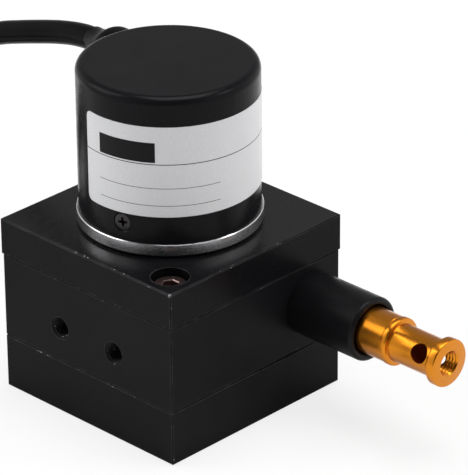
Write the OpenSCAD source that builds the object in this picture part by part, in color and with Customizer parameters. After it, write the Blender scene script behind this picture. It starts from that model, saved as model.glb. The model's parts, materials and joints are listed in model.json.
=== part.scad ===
// Draw wire encoder: a spring-driven wire drum in a three-piece block, with a
// rotary encoder standing on the block and its shaft plugged into the drum.
// Millimetres. The origin is the centre of the block's underside, on the drum
// axis. +Z is up and +X is the way the wire is pulled.

/* [Block] */
// Side of the square block
block_w = 50; // [49:0.5:52]
// Height of the bottom cover
cover_h = 12.3; // [12:0.1:13]
// Height of the middle body
body_h = 19.2; // [19:0.1:20]
// Height of the top plate
plate_h = 8.3; // [8:0.1:9]
// How far the top plate stands proud of the body on each side
plate_lip = 0.25; // [0:0.05:0.5]
// Width of the bevels on the block's broken edges
edge_break = 0.3; // [0.1:0.05:0.4]
// Radius of the drum chamber
chamber_r = 18.4; // [18.2:0.1:18.8]
// Distance of the plate screws from the block's middle planes
plate_screw_at = 19.4; // [19:0.1:19.8]
// Radius of the plate screws' counterbores
plate_screw_bore_r = 4.5; // [4.1:0.1:4.6]
// Distance of the cover screws from the block's middle planes
cover_screw_at = 20.5; // [20.3:0.1:20.8]

/* [Side mounting holes] */
// Distance between the two threaded holes
side_hole_pitch = 16; // [12:1:20]
// Height of the two threaded holes
side_hole_z = 20; // [19:0.5:22]
// Tapping radius of the threaded holes (M5)
side_hole_r = 2.1; // [1.65:0.05:2.1]
// Depth of the threaded holes
side_hole_depth = 7; // [5:0.5:7]

/* [Drum and wire] */
// Radius at which the wire lies on the drum: 100 mm of wire a turn
wire_lay_r = 15.915; // [15.6:0.005:16]
// Diameter of the stranded wire
wire_d = 0.45; // [0.4:0.05:0.5]
// Distance between turns of wire
wire_pitch = 0.5; // [0.5:0.01:0.52]
// Turns of wire on the drum: 15 of stroke and a half turn that stays
wire_turns = 15.5; // [12:0.5:15.5]
// Radius of the drum's flanges
drum_flange_r = 17.6; // [17:0.1:17.8]
// Depth of the drum shaft's D-shaped socket
socket_depth = 13; // [11:0.5:13]

/* [Power spring] */
// Turns of the spring strip in the bottom cover
spring_turns = 10; // [8:1:11]
// Thickness of the spring strip
spring_t = 0.35; // [0.2:0.05:0.4]
// Width of the spring strip
spring_w = 5.2; // [4.5:0.1:5.4]
// Radius of the spring's pocket
spring_pocket_r = 21.5; // [21.2:0.1:21.8]

/* [Wire outlet] */
// Height of the outlet's axis
outlet_z = 22.5; // [21.5:0.1:22.5]
// Outside radius of the outlet tube
tube_r = 7; // [6.8:0.1:7.2]
// How far the tube stands out of the block
tube_len = 18.1; // [17:0.1:20]
// Radius of the tube's mouth
tube_mouth_r = 5.4; // [5.3:0.05:5.5]

/* [End fitting] */
// Radius of the fitting's barrel
fitting_r = 5.1; // [4.8:0.05:5.1]
// Radius of the collar at the barrel's shoulder
collar_r = 5.25; // [5.2:0.05:5.4]
// Width of the collar
collar_w = 1.4; // [1:0.1:2]
// Radius of the fitting's neck
neck_r = 4.15; // [3.8:0.05:4.2]
// Length of the barrel up to its shoulder
barrel_len = 21.4; // [20:0.1:22]
// Distance from the shoulder to the end face
neck_len = 13.2; // [12:0.1:14]
// Radius of the end flange
end_flange_r = 5.2; // [5:0.05:5.3]
// Thickness of the end flange
end_flange_t = 1.8; // [1.4:0.1:2]
// Tapping radius of the end thread (M5)
end_thread_r = 2.1; // [1.65:0.05:2.1]
// Radius of the cross hole
cross_hole_r = 2.1; // [1.8:0.05:2.15]
// Distance of the cross hole from the end face
cross_hole_at = 5.1; // [4.9:0.1:6]
// Angle of the cross hole above the horizontal
cross_hole_tilt = 27.4; // [0:0.1:90]

/* [Encoder] */
// Outside radius of the encoder cap
cap_r = 19.15; // [19:0.05:19.4]
// Height of the cap
cap_h = 32.7; // [32:0.1:34]
// Thickness of the cap's wall
cap_wall = 1.5; // [1.4:0.1:1.5]
// Rounding of the cap's upper edge
cap_round = 1.8; // [1.2:0.1:2.4]
// Radius of the bare flange ring
ring_r = 19.6; // [19.4:0.05:19.8]
// Height of the bare flange ring
ring_h = 2.5; // [2:0.1:3]
// Thickness of the gasket below the flange
gasket_t = 0.6; // [0.4:0.1:0.8]
// Direction of the first cap screw, from +X
cap_screw_dir = -75.5; // [-80:0.5:-70]
// Radius of the code disc
disc_r = 10.8; // [10:0.1:11]
// Number of windows in the code disc
disc_windows = 36; // [12:1:40]

/* [Label] */
// Height of the lower edge of the label
label_z = 49.1; // [48.8:0.1:50]
// Height of the label
label_h = 20.2; // [15:0.1:21]
// Direction of the label's left edge, from +X
label_dir = -109; // [-120:1:-100]
// Angle that the label goes round the cap
label_sweep = 180; // [150:1:200]

/* [Cable] */
// Diameter of the cable
cable_d = 5.2; // [4.8:0.1:5.4]
// Direction in which the cable leaves the cap, from +X
gland_dir = 165; // [160:1:170]
// Height of the cable's outlet
gland_z = 68.5; // [68:0.1:69]

/* [Hidden] */
$fn = 96;
eps = 0.01;

// Heights of the stacked pieces
body_z = cover_h;
plate_z = body_z + body_h;
block_h = plate_z + plate_h;
ring_z = block_h + gasket_t;
cap_z = ring_z + ring_h;

// Seats of the screw heads in the top plate, and its opening over the upper bearing
plate_seat_z = block_h - 5.5;
flange_seat_z = plate_z + 3.5;
plate_throat_r = 7.4;

// Bottom cover
spring_floor = 4.6;
spring_plate_t = 1.2;
spring_plate_r = 22.35;
cover_head_depth = 6;
cover_thread_depth = 6.3;

// Socket head hardware: radius of shank and head, head height, half the key's width
m2 = [0.8, 1.9, 1.3, 0.8];
m3 = [1.5, 2.75, 3, 1.25];
m4 = [2, 3.5, 4, 1.5];
m3_tap_r = 1.25;
m3_clear_r = 1.65;
m4_tap_r = 1.65;
m3_head_bore_r = 3;
m4_clear_r = 2.2;

// Bearings: bore radius, pitch radius, outer radius, height, ball radius, balls
lower_bearing = [2.5, 3.75, 5, 3, 0.75, 8];
upper_bearing = [6, 7.5, 9, 4, 0.8, 14];
encoder_bearing = [3, 4.5, 6, 4, 0.8, 9];
ball_play = 0.03;
lower_bearing_z = 1.2;
upper_bearing_z = 25.6;
encoder_bearing_zs = [cap_z - 5, cap_z + 7.1];

// Drum
drum_z = cover_h + 0.6;
drum_hub_r = 8.4;
drum_hub_top = upper_bearing_z - 0.6;
shaft_r = upper_bearing[0];
barrel_r = wire_lay_r - wire_d / 2 - 0.2;
barrel_in_r = 13.2;
wire_low_z = outlet_z - wire_pitch * wire_turns;
flange_low_z = wire_low_z - wire_d / 2 - 0.1;
flange_high_z = outlet_z + wire_d / 2 + 0.5;
web_z = 17;
web_t = 2.4;
shaft_top = upper_bearing_z + 4.4;
socket_z = shaft_top - socket_depth;
boss_r = 11.2;
boss_z = upper_bearing_z - 0.2;

// Outlet: the wire leaves along a tangent of its turns
outlet_y = wire_lay_r;
face_x = block_w / 2;
wire_passage_r = 1.6;
spigot_r = 4;
spigot_x = 16;
guide_r = 2.8;
stop_x = face_x + 2.55;
bumper_t = 1.8;
fitting_x = stop_x + bumper_t + 0.1;
plug_t = 4.2;
plug_r = 3.3;

// Encoder
register_r = cap_r - cap_wall - 0.05;
register_in_r = 15.2;
register_top = cap_z + 6.5;
flange_floor = cap_z + 2.1;
tower_r = 8;
tower_top = encoder_bearing_zs[1] + 4;
pilot_r = 10;
pilot_depth = 3;
encoder_shaft_r = 3;
flange_screw_at = 14.5;
flange_screw_dirs = [30, 150, 270];
hub_z = tower_top + 0.4;
disc_z = hub_z + 2.6;
disc_t = 0.6;
board_z = disc_z + 4;
board_t = 1.6;
board_r = 16.5;
pillar_at = 13.2;
pillar_r = 1.75;
pillar_dirs = [90, 210, 330];
sensor_dir = 20;
sensor_at = 9.4;
cap_screw_z = 46.8;
gland_r = 4.5;
gland_neck_r = 3.55;
gland_end = 24.5;
relief_end = 31.5;

// Cable route, from inside the cap to the top of the coil
cable_route = [
    [-16, 4.3, 68.5], [-21, 5.6, 68.5], [-26, 7, 68.5], [-29, 7.7, 68.2],
    [-32.5, 8.4, 67.5], [-36, 9.1, 66.8], [-41.5, 10, 65.6], [-47, 10.7, 64],
    [-52.5, 11.2, 62.3], [-58, 11.7, 60.4], [-64, 12.2, 58.2], [-67, 12.5, 56.8],
    [-70, 12.9, 54.8], [-72.6, 13.2, 52.1], [-75.2, 13.7, 48.4], [-78.2, 14.3, 43.8],
    [-82.2, 15.3, 37.4], [-86.2, 16.4, 31.1], [-90.2, 17.5, 24.9], [-94, 18.6, 18.6],
    [-97.2, 19.6, 14.2], [-101.5, 20.6, 10.7], [-106.6, 21.5, 8.6], [-112, 21.8, 7.8]
];
// Cable from the foot of the coil to the stripped end
tail_route = [
    [-112, -49.8, 2.6], [-104, -50, 2.6], [-96, -49.8, 2.6], [-88, -49.2, 2.6],
    [-80, -48.6, 2.6], [-74, -48.4, 2.6]
];
coil_centre = [-112, -14, 0];
coil_in_r = 21.5;
coil_out_r = 38.4;
coil_h = 10.4;
lead_r = 0.65;
lead_tips = [[-58, -52.5, 0.8], [-56, -49.5, 0.8], [-56.5, -46.5, 0.8], [-59, -43.5, 0.8]];

// ---- Shared shapes ---------------------------------------------------------

// A tube along Z
module tube(r_out, r_in, h) {
    difference() {
        cylinder(h = h, r = r_out);
        translate([0, 0, -eps]) cylinder(h = h + 2 * eps, r = r_in);
    }
}

// Places its children at the outlet, with Z along the pulled wire
module on_wire_axis(x = 0) {
    translate([x, outlet_y, outlet_z]) rotate([0, 90, 0]) children();
}

// Copies its children to both sides of the middle, or to all four corners
module at_corners(d, corners = [[1, 1], [1, -1], [-1, 1], [-1, -1]]) {
    for (c = corners) {
        translate([c[0] * d, c[1] * d, 0]) children();
    }
}

// Copies its children to a distance and a list of directions from the axis
module around(d, dirs) {
    for (a = dirs) {
        rotate([0, 0, a]) translate([d, 0, 0]) children();
    }
}

// A socket head cap screw, its head's seat at Z = 0 and its shank downwards
module socket_screw(size, len) {
    difference() {
        union() {
            translate([0, 0, -len]) cylinder(h = len + eps, r = size[0]);
            cylinder(h = size[2] - 0.3, r = size[1]);
            translate([0, 0, size[2] - 0.3]) cylinder(h = 0.3, r1 = size[1], r2 = size[1] - 0.3);
        }
        translate([0, 0, size[2] / 2]) cylinder(h = size[2], r = size[3] / cos(30), $fn = 6);
    }
}

// A countersunk cross-recess screw, its flat head at Z = 0 and its shank downwards
module countersunk_screw(shank_r, head_r, len) {
    edge = 0.2;
    difference() {
        rotate_extrude() polygon([
            [0, -len], [shank_r, -len], [shank_r, shank_r - head_r - edge],
            [head_r, -edge], [head_r, 0], [0, 0]
        ]);
        cross_recess(head_r * 0.55, 0.25, 0.7);
    }
}

// A cross recess cut down from Z = 0: two slots of the given reach and half width
module cross_recess(reach, half, depth) {
    translate([0, 0, -depth]) linear_extrude(height = depth + 1) union() {
        square([2 * reach, 2 * half], center = true);
        square([2 * half, 2 * reach], center = true);
    }
}

// One ring of a ball bearing: a bevelled rectangle with the balls' groove turned in it
module bearing_ring(bearing, r_in, r_out) {
    translate([0, 0, bearing[3] / 2]) rotate_extrude() {
        difference() {
            translate([(r_in + r_out) / 2, 0]) bevelled_square(r_out - r_in, bearing[3], 0.15);
            translate([bearing[1], 0]) circle(r = bearing[4] + ball_play, $fn = 48);
        }
    }
}

module bearing_outer(bearing) {
    bearing_ring(bearing, bearing[1] + 0.45, bearing[2]);
}

module bearing_inner(bearing) {
    bearing_ring(bearing, bearing[0], bearing[1] - 0.45);
}

module bearing_balls(bearing) {
    for (i = [0 : bearing[5] - 1]) {
        rotate([0, 0, i * 360 / bearing[5]]) translate([bearing[1], 0, bearing[3] / 2])
            sphere(r = bearing[4], $fn = 32);
    }
}

// A ring with a drilled pocket for each ball
module bearing_cage(bearing) {
    half = 1.05;
    difference() {
        translate([0, 0, bearing[3] / 2 - half]) tube(bearing[1] + 0.3, bearing[1] - 0.3, 2 * half);
        around(bearing[1] - 1, [for (i = [0 : bearing[5] - 1]) i * 360 / bearing[5]])
            translate([0, 0, bearing[3] / 2]) rotate([0, 90, 0]) cylinder(h = 2, r = bearing[4] + 0.05);
    }
}

// A rectangle round the origin with bevelled corners
module bevelled_square(a, b, bevel) {
    x = a / 2;
    y = b / 2;
    polygon([
        [x - bevel, -y], [x, bevel - y], [x, y - bevel], [x - bevel, y],
        [bevel - x, y], [-x, y - bevel], [-x, bevel - y], [bevel - x, -y]
    ]);
}

// A square plate of the block with all its edges broken
module block_piece(w, z, h) {
    intersection() {
        translate([0, 0, z]) linear_extrude(height = h) bevelled_square(w, w, edge_break);
        translate([0, w / 2, z + h / 2]) rotate([90, 0, 0]) linear_extrude(height = w)
            bevelled_square(w, h, edge_break);
        translate([-w / 2, 0, z + h / 2]) rotate([0, 90, 0]) linear_extrude(height = w)
            bevelled_square(h, w, edge_break);
    }
}

// A disc with both its edges bevelled
module bevelled_disc(r, h, bevel) {
    cylinder(h = bevel, r1 = r - bevel, r2 = r);
    translate([0, 0, bevel]) cylinder(h = h - 2 * bevel, r = r);
    translate([0, 0, h - bevel]) cylinder(h = bevel, r1 = r, r2 = r - bevel);
}

// A round bar from one point to another
module bar(p, q, r) {
    d = q - p;
    turn = atan2(d[1], d[0]);
    lean = acos(d[2] / norm(d));
    translate(p) rotate([0, lean, turn]) cylinder(h = norm(d), r = r);
}

// Direction of a path at one of its points
function heading(path, i) =
    let (d = path[min(i + 1, len(path) - 1)] - path[max(i - 1, 0)]) d / norm(d);

// A tube swept along a path that is never vertical
module swept(path, r, sides) {
    rings = len(path);
    points = [for (i = [0 : rings - 1])
        let (t = heading(path, i), w = cross([0, 0, 1], t), u = w / norm(w), v = cross(t, u))
        for (k = [0 : sides - 1])
            let (a = 360 * k / sides)
            path[i] + r * (cos(a) * u + sin(a) * v)];
    walls = [for (i = [0 : rings - 2]) for (k = [0 : sides - 1])
        let (here = i * sides, next = here + sides, k2 = (k + 1) % sides)
        [here + k, next + k, next + k2, here + k2]];
    first = [for (k = [0 : sides - 1]) k];
    last = [for (k = [sides - 1 : -1 : 0]) (rings - 1) * sides + k];
    polyhedron(points = points, faces = concat([first], walls, [last]), convexity = 8);
}

// ---- Block -----------------------------------------------------------------

module bottom_cover() {
    color("#1d1e20") difference() {
        block_piece(block_w, 0, cover_h);
        translate([0, 0, spring_floor]) cylinder(h = cover_h, r = spring_pocket_r);
        translate([0, 0, cover_h - spring_plate_t]) cylinder(h = 2, r = spring_plate_r + 0.05);
        translate([0, 0, lower_bearing_z]) cylinder(h = cover_h, r = lower_bearing[2]);
        rotate([0, 0, spring_end_dir()]) translate([spring_pocket_r - 1, -0.6, spring_floor])
            cube([2, 1.2, cover_h]);
        at_corners(cover_screw_at) {
            translate([0, 0, -eps]) cylinder(h = cover_head_depth + eps, r = m3_head_bore_r);
            cylinder(h = cover_h + 1, r = m3_clear_r);
        }
    }
}

module middle_body() {
    color("#1d1e20") difference() {
        block_piece(block_w, body_z, body_h);
        translate([0, 0, body_z - 1]) cylinder(h = body_h + 2, r = chamber_r);
        on_wire_axis(8) cylinder(h = 10, r = wire_passage_r);
        on_wire_axis(spigot_x) cylinder(h = face_x, r = spigot_r);
        for (side = [-1, 1]) {
            translate([side * side_hole_pitch / 2, -block_w / 2, side_hole_z]) rotate([-90, 0, 0])
                side_hole();
        }
        at_corners(cover_screw_at) translate([0, 0, body_z - 1])
            cylinder(h = cover_thread_depth + 1, r = m3_tap_r);
        at_corners(plate_screw_at, [[1, -1], [-1, 1]])
            translate([0, 0, plate_z - 9.5]) cylinder(h = 10, r = m4_tap_r);
    }
}

// A tapped blind hole with a countersunk mouth at Z = 0, drilled upwards
module side_hole() {
    translate([0, 0, -eps]) cylinder(h = side_hole_depth + eps, r = side_hole_r);
    translate([0, 0, -0.1]) cylinder(h = 0.65, r1 = side_hole_r + 0.6, r2 = side_hole_r - 0.05);
    translate([0, 0, side_hole_depth - eps]) cylinder(h = 0.9, r1 = side_hole_r, r2 = 0.3);
}

module top_plate() {
    w = block_w + 2 * plate_lip;
    bearing_top = upper_bearing_z + upper_bearing[3];
    color("#1d1e20") difference() {
        union() {
            block_piece(w, plate_z, plate_h);
            translate([0, 0, boss_z]) cylinder(h = plate_z - boss_z + 1, r = boss_r);
        }
        translate([0, 0, boss_z - 1]) cylinder(h = bearing_top - boss_z + 1, r = upper_bearing[2]);
        translate([0, 0, boss_z]) cylinder(h = plate_h + 20, r = plate_throat_r);
        translate([0, 0, block_h - pilot_depth]) cylinder(h = 10, r = pilot_r);
        at_corners(plate_screw_at, [[1, -1], [-1, 1]]) {
            translate([0, 0, plate_z - 1]) cylinder(h = plate_h + 2, r = m4_clear_r);
            translate([0, 0, plate_seat_z]) cylinder(h = 10, r = plate_screw_bore_r);
        }
        around(flange_screw_at, flange_screw_dirs) {
            translate([0, 0, plate_z - 1]) cylinder(h = plate_h + 2, r = m3_clear_r);
            translate([0, 0, plate_z - 1]) cylinder(h = flange_seat_z - plate_z + 1, r = m3_head_bore_r);
        }
    }
}

module plate_screws() {
    color("#6b6460") at_corners(plate_screw_at, [[1, -1], [-1, 1]])
        translate([0, 0, plate_seat_z]) socket_screw(m4, 12);
}

module cover_screws() {
    color("#3a3b3d") at_corners(cover_screw_at)
        translate([0, 0, cover_head_depth]) rotate([180, 0, 0]) socket_screw(m3, 12);
}

module spring_plate() {
    color("#9fa2a5") translate([0, 0, cover_h - spring_plate_t])
        tube(spring_plate_r, 4.6, spring_plate_t);
}

// ---- Power spring ----------------------------------------------------------

function spring_in_r() = 6.6;
function spring_out_r() = spring_pocket_r - 0.6;
function spring_end_dir() = 360 * spring_turns % 360;

// Centre line radius of the strip after a share of its turns
function spring_r(share) = spring_in_r() + (spring_out_r() - spring_in_r()) * share;

// A point on one face of the strip, off its centre line
function strip_point(share, off) =
    let (a = 360 * spring_turns * share)
    (spring_r(share) + off) * [cos(a), sin(a)];

module power_spring() {
    steps = spring_turns * 36;
    outer = [for (i = [0 : steps]) strip_point(i / steps, spring_t / 2)];
    inner = [for (i = [steps : -1 : 0]) strip_point(i / steps, -spring_t / 2)];
    color("#7d8794") translate([0, 0, spring_floor + 0.5]) linear_extrude(height = spring_w) {
        polygon(concat(outer, inner));
        translate([4.7, 0]) square([spring_in_r() - 4.7, spring_t]);
        rotate(spring_end_dir()) translate([spring_out_r(), -spring_t]) square([1.2, spring_t]);
    }
}

// ---- Wire outlet -----------------------------------------------------------

module outlet_tube() {
    lip = (tube_r - tube_mouth_r) / 2;
    length = tube_len + face_x - spigot_x;
    shoulder = face_x - spigot_x;
    color("#151618") on_wire_axis(spigot_x) rotate_extrude() {
        difference() {
            union() {
                translate([guide_r, 0]) square([spigot_r - guide_r, shoulder + eps]);
                translate([guide_r, shoulder]) square([tube_r - guide_r, tube_len - lip]);
                translate([tube_r - lip, length - lip]) circle(r = lip, $fn = 48);
            }
            translate([0, stop_x - spigot_x]) square([tube_mouth_r, length]);
        }
    }
}

// Ceramic eyelet with a flared mouth towards the drum
module guide_eyelet() {
    color("#e8e4d8") on_wire_axis(spigot_x + 0.2) difference() {
        cylinder(h = 4, r = guide_r);
        translate([0, 0, -1]) cylinder(h = 6, r = wire_d / 2 + 0.075);
        translate([0, 0, -eps]) cylinder(h = 1.2, r1 = 1.5, r2 = wire_d / 2 + 0.075);
    }
}

module wire_wiper() {
    color("#c9bfa6") on_wire_axis(spigot_x + 5) tube(guide_r, wire_d / 2 + 0.05, 6);
}

module bumper_ring() {
    color("#2a2a2c") on_wire_axis(stop_x) tube(tube_mouth_r - 0.1, 1, bumper_t);
}

module draw_wire() {
    color("#b8bcc0") on_wire_axis(0) cylinder(h = fitting_x + 10.9, r = wire_d / 2);
}

// Crimped wire end: a sleeve with a collar that the plug holds
module ferrule() {
    color("#a9763c") on_wire_axis(fitting_x + plug_t + 0.05) difference() {
        union() {
            cylinder(h = 1.4, r = 2.5);
            cylinder(h = 7, r = 1.4);
        }
        translate([0, 0, -eps]) cylinder(h = 6.66, r = wire_d / 2);
    }
}

// ---- End fitting -----------------------------------------------------------

module end_fitting() {
    length = barrel_len + neck_len;
    flange_x = length - end_flange_t;
    cross_x = length - cross_hole_at;
    fillet = end_flange_r - neck_r;
    color("#d98a1c") on_wire_axis(fitting_x) difference() {
        union() {
            cylinder(h = barrel_len - collar_w, r = fitting_r);
            translate([0, 0, barrel_len - collar_w]) bevelled_disc(collar_r, collar_w, 0.15);
            cylinder(h = length - 0.5, r = neck_r);
            rotate_extrude() difference() {
                translate([neck_r - eps, flange_x - fillet]) square([fillet + eps, fillet + 0.2]);
                translate([neck_r + fillet, flange_x - fillet]) circle(r = fillet, $fn = 48);
            }
            translate([0, 0, flange_x]) bevelled_disc(end_flange_r, end_flange_t, 0.2);
        }
        translate([0, 0, -eps]) cylinder(h = plug_t + eps, r = plug_r);
        cylinder(h = plug_t + 9, r = 2.8);
        translate([0, 0, cross_x]) cylinder(h = 20, r = end_thread_r);
        translate([0, 0, length - 0.7])
            cylinder(h = 0.8, r1 = end_thread_r, r2 = end_thread_r + 0.8);
        translate([0, 0, cross_x]) rotate([0, 0, 180 - cross_hole_tilt]) rotate([90, 0, 0])
            translate([0, 0, -neck_r - 2]) cylinder(h = 2 * neck_r + 4, r = cross_hole_r);
    }
}

module retaining_plug() {
    color("#c47a18") on_wire_axis(fitting_x) difference() {
        cylinder(h = plug_t, r = plug_r);
        translate([0, 0, -1]) cylinder(h = plug_t + 2, r = 0.5);
        translate([-plug_r, -0.4, -eps]) cube([2 * plug_r, 0.8, 0.8]);
    }
}

// ---- Drum ------------------------------------------------------------------

module drum() {
    top = flange_high_z + 1.1;
    color("#8f9499") difference() {
        union() {
            translate([0, 0, drum_z]) cylinder(h = drum_hub_top - drum_z, r = drum_hub_r);
            translate([0, 0, drum_z]) cylinder(h = top - drum_z, r = barrel_r);
            translate([0, 0, drum_z]) cylinder(h = flange_low_z - drum_z, r = drum_flange_r);
            translate([0, 0, flange_high_z]) cylinder(h = top - flange_high_z, r = drum_flange_r);
        }
        translate([0, 0, drum_z - 1]) tube(barrel_in_r, drum_hub_r, web_z - drum_z + 1);
        translate([0, 0, web_z + web_t]) tube(barrel_in_r, drum_hub_r, 20);
        translate([0, 0, drum_z - 1]) cylinder(h = 20, r = shaft_r);
        around(10.8, [0 : 60 : 300]) translate([0, 0, web_z - 1]) cylinder(h = web_t + 2, r = 1.6);
        wire_hole();
    }
}

// The hole through which the wire's inner end enters the drum
module wire_hole() {
    rotate([0, 0, 90 + 360 * wire_turns]) translate([12, 0, wire_low_z]) rotate([0, 90, 0])
        cylinder(h = 6, r = 0.35);
}

module drum_shaft() {
    color("#c4c8cc") difference() {
        union() {
            translate([0, 0, lower_bearing_z]) cylinder(h = 5, r = lower_bearing[0]);
            translate([0, 0, lower_bearing_z + 3]) cylinder(h = 0.7, r = 3.1);
            translate([0, 0, lower_bearing_z + 3.6]) cylinder(h = 10, r = 4);
            translate([0, 0, drum_z - 0.2]) cylinder(h = shaft_top - drum_z + 0.2, r = shaft_r);
        }
        translate([0, 0, socket_z]) d_profile(socket_depth + 1, encoder_shaft_r + 0.02);
    }
}

// A round bar with one flat, as in a plug-in shaft coupling
module d_profile(h, r) {
    difference() {
        cylinder(h = h, r = r);
        translate([r - 0.5, -r, -1]) cube([r, 2 * r, h + 2]);
    }
}

// Sleeve that takes the spring's inner end in its slot
module spring_arbor() {
    color("#b0a06a") translate([0, 0, spring_floor + 0.3]) difference() {
        tube(6.2, 4, 6);
        translate([4.6, -0.3, -1]) cube([3, 1.2, 8]);
    }
}

module wound_wire() {
    steps_a_turn = 24;
    steps = wire_turns * steps_a_turn;
    path = [for (i = [0 : steps])
        let (a = 90 + 360 * i / steps_a_turn)
        [wire_lay_r * cos(a), wire_lay_r * sin(a), outlet_z - wire_pitch * i / steps_a_turn]];
    color("#aeb3b8") swept(path, wire_d / 2, 6);
}

module wire_clamp_screw() {
    color("#55585c") rotate([0, 0, 90 + 360 * wire_turns + 30]) translate([10.8, 0, web_z])
        rotate([180, 0, 0]) socket_screw([1.6, 2.2, 1.3, 0.8], web_t);
}

// ---- Drum bearings ---------------------------------------------------------

module lower_bearing_outer_ring() {
    color("#d5d8db") translate([0, 0, lower_bearing_z]) bearing_outer(lower_bearing);
}

module lower_bearing_inner_ring() {
    color("#d5d8db") translate([0, 0, lower_bearing_z]) bearing_inner(lower_bearing);
}

module lower_bearing_balls() {
    color("#f0f2f4") translate([0, 0, lower_bearing_z]) bearing_balls(lower_bearing);
}

module lower_bearing_cage() {
    color("#b58b3a") translate([0, 0, lower_bearing_z]) bearing_cage(lower_bearing);
}

module upper_bearing_outer_ring() {
    color("#d5d8db") translate([0, 0, upper_bearing_z]) bearing_outer(upper_bearing);
}

module upper_bearing_inner_ring() {
    color("#d5d8db") translate([0, 0, upper_bearing_z]) bearing_inner(upper_bearing);
}

module upper_bearing_balls() {
    color("#f0f2f4") translate([0, 0, upper_bearing_z]) bearing_balls(upper_bearing);
}

module upper_bearing_cage() {
    color("#b58b3a") translate([0, 0, upper_bearing_z]) bearing_cage(upper_bearing);
}

// ---- Encoder ---------------------------------------------------------------

module flange_gasket() {
    color("#0e0e0f") translate([0, 0, block_h]) difference() {
        tube(ring_r - 0.9, pilot_r + 0.1, gasket_t);
        around(flange_screw_at, flange_screw_dirs) translate([0, 0, -1]) cylinder(h = 3, r = m3_clear_r);
    }
}

module encoder_flange() {
    chamfer = 0.3;
    bearing_top = encoder_bearing_zs[0] + encoder_bearing[3];
    color("#c9ccd0") difference() {
        union() {
            translate([0, 0, block_h - pilot_depth + 0.1])
                cylinder(h = pilot_depth + 1, r = pilot_r - 0.05);
            translate([0, 0, ring_z]) cylinder(h = chamfer, r1 = ring_r - chamfer, r2 = ring_r);
            translate([0, 0, ring_z + chamfer]) cylinder(h = ring_h - 2 * chamfer, r = ring_r);
            translate([0, 0, cap_z - chamfer]) cylinder(h = chamfer, r1 = ring_r, r2 = ring_r - chamfer);
            translate([0, 0, ring_z]) cylinder(h = flange_floor - ring_z, r = register_r);
            translate([0, 0, cap_z]) tube(register_r, register_in_r, register_top - cap_z);
            translate([0, 0, cap_z]) cylinder(h = tower_top - cap_z, r = tower_r);
        }
        translate([0, 0, block_h - pilot_depth - 1])
            cylinder(h = bearing_top - block_h + pilot_depth + 1, r = encoder_bearing[2]);
        translate([0, 0, encoder_bearing_zs[1]]) cylinder(h = 10, r = encoder_bearing[2]);
        translate([0, 0, block_h]) cylinder(h = 20, r = encoder_bearing[1]);
        around(flange_screw_at, flange_screw_dirs) translate([0, 0, ring_z - 1])
            cylinder(h = 4.4, r = m3_tap_r);
        around(pillar_at, pillar_dirs) translate([0, 0, flange_floor - 2.5]) cylinder(h = 3, r = 0.8);
        around(0, cap_screw_dirs()) translate([register_in_r - 1, 0, cap_screw_z]) rotate([0, 90, 0])
            cylinder(h = 6, r = 1.05);
    }
}

function cap_screw_dirs() = [for (i = [0 : 2]) cap_screw_dir + 120 * i];

module flange_screws() {
    color("#55585c") around(flange_screw_at, flange_screw_dirs)
        translate([0, 0, flange_seat_z]) rotate([180, 0, 0]) socket_screw(m3, 8.8);
}

module encoder_bearing_outer_rings() {
    color("#d5d8db") for (z = encoder_bearing_zs) {
        translate([0, 0, z]) bearing_outer(encoder_bearing);
    }
}

module encoder_bearing_inner_rings() {
    color("#d5d8db") for (z = encoder_bearing_zs) {
        translate([0, 0, z]) bearing_inner(encoder_bearing);
    }
}

module encoder_bearing_balls() {
    color("#f0f2f4") for (z = encoder_bearing_zs) {
        translate([0, 0, z]) bearing_balls(encoder_bearing);
    }
}

module encoder_bearing_cages() {
    color("#b58b3a") for (z = encoder_bearing_zs) {
        translate([0, 0, z]) bearing_cage(encoder_bearing);
    }
}

module encoder_shaft() {
    color("#c4c8cc") {
        translate([0, 0, socket_z + 0.5]) d_profile(shaft_top - socket_z, encoder_shaft_r);
        translate([0, 0, shaft_top]) cylinder(h = disc_z + 1.4 - shaft_top, r = encoder_shaft_r);
    }
}

module disc_hub() {
    color("#8a7a4a") translate([0, 0, hub_z]) tube(6, encoder_shaft_r, disc_z - hub_z);
}

module code_disc() {
    color("#38424d") translate([0, 0, disc_z]) difference() {
        tube(disc_r, encoder_shaft_r, disc_t);
        for (i = [0 : disc_windows - 1]) {
            rotate([0, 0, i * 360 / disc_windows]) translate([disc_r - 2.2, -0.4, -1])
                cube([1.6, 0.8, 3]);
        }
        rotate([0, 0, 180 / disc_windows]) translate([disc_r - 3.6, -0.3, -1]) cube([0.9, 0.6, 3]);
    }
}

module disc_clamp_ring() {
    color("#8a7a4a") translate([0, 0, disc_z + disc_t]) tube(5.4, encoder_shaft_r, 0.8);
}

module led_block() {
    color("#26282b") rotate([0, 0, sensor_dir]) difference() {
        translate([8.2, -3, flange_floor]) cube([3, 6, disc_z - flange_floor - 0.8]);
        translate([sensor_at, 0, disc_z - 2.4]) cylinder(h = 4, r = 0.9);
    }
}

module board_pillars() {
    color("#b9a45e") around(pillar_at, pillar_dirs) translate([0, 0, flange_floor])
        tube(pillar_r, 0.8, board_z - flange_floor);
}

module circuit_board() {
    color("#1f6b3a") difference() {
        translate([0, 0, board_z]) tube(board_r, 3.4, board_t);
        around(pillar_at, pillar_dirs) translate([0, 0, board_z - 1]) cylinder(h = 4, r = 1.1);
    }
}

module board_screws() {
    color("#c9ccd0") around(pillar_at, pillar_dirs) translate([0, 0, board_z + board_t])
        socket_screw(m2, 5.5);
}

module light_sensor() {
    color("#18191b") rotate([0, 0, sensor_dir])
        translate([sensor_at - 2.2, -2.5, board_z - 1.8]) cube([4.4, 5, 1.8]);
}

module sensor_mask() {
    color("#90979e") rotate([0, 0, sensor_dir]) difference() {
        translate([sensor_at - 1.7, -2.5, board_z - 2.4]) cube([3.4, 5, 0.6]);
        for (y = [-1.5, 0, 1.5]) {
            translate([sensor_at - 0.6, y - 0.3, board_z - 3]) cube([1.2, 0.6, 2]);
        }
    }
}

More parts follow.
